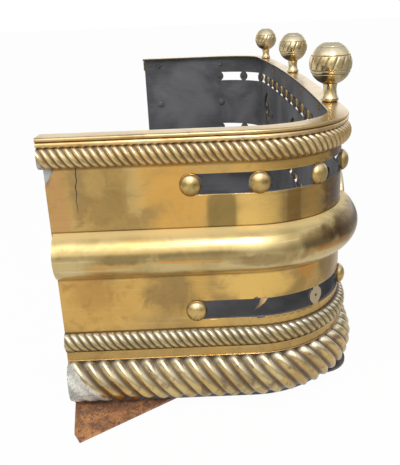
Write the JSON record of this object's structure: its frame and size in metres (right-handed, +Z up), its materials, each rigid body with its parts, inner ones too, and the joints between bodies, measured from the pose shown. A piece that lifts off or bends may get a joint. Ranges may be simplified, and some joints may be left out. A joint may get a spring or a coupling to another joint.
{
  "type": "fire fender",
  "caption": "U-shaped hearth fender: pierced sheet-brass wall over a black iron lining, with cable mouldings, a half-round band, roundels and ball finials.",
  "frame": {"origin": "on the floor plane under the middle of the fender's overall box", "axes": "+X to the right end as seen from the room, +Y back towards the open side and the fire, +Z up; the bowed front faces -Y"},
  "size_m": [1.248, 0.3508, 0.3739],
  "materials": {
    "sheet_brass": "worn and mottled",
    "polished_brass": "polished, with light tarnish",
    "black_iron": "satin black paint, dusty and scuffed",
    "rusty_iron": "matt rust"
  },
  "bodies": {
    "root": {"iron_lining": "black_iron", "brass_skin": "sheet_brass", "rail_bar": "black_iron", "top_rail": "polished_brass", "rail_fascia": "sheet_brass", "upper_rope": "sheet_brass", "lower_rope": "sheet_brass", "base_fillet": "sheet_brass", "base_rope": "sheet_brass", "bolection_left": "polished_brass", "bolection_front_left": "polished_brass", "bolection_front_right": "polished_brass", "bolection_right": "polished_brass", "upper_ball_studs": "polished_brass", "lower_ball_studs": "polished_brass", "roundel_left": "polished_brass", "roundel_centre": "polished_brass", "roundel_right": "polished_brass", "roundel_rivets": "black_iron", "finial_ball_left": "polished_brass", "finial_ball_centre": "polished_brass", "finial_ball_right": "polished_brass", "finial_stem_left": "polished_brass", "finial_stem_centre": "polished_brass", "finial_stem_right": "polished_brass", "finial_rod_left": "black_iron", "finial_rod_centre": "black_iron", "finial_rod_right": "black_iron", "rail_screws": "rusty_iron", "rope_rivets": "black_iron", "bolection_rivets": "black_iron", "base_angle": "black_iron", "base_rivets": "black_iron", "bottom_plate": "black_iron", "foot_plate_left": "rusty_iron", "foot_plate_right": "rusty_iron", "corner_foot_left": "black_iron", "corner_foot_right": "black_iron", "foot_rivets": "rusty_iron"}
  },
  "joints": []
}
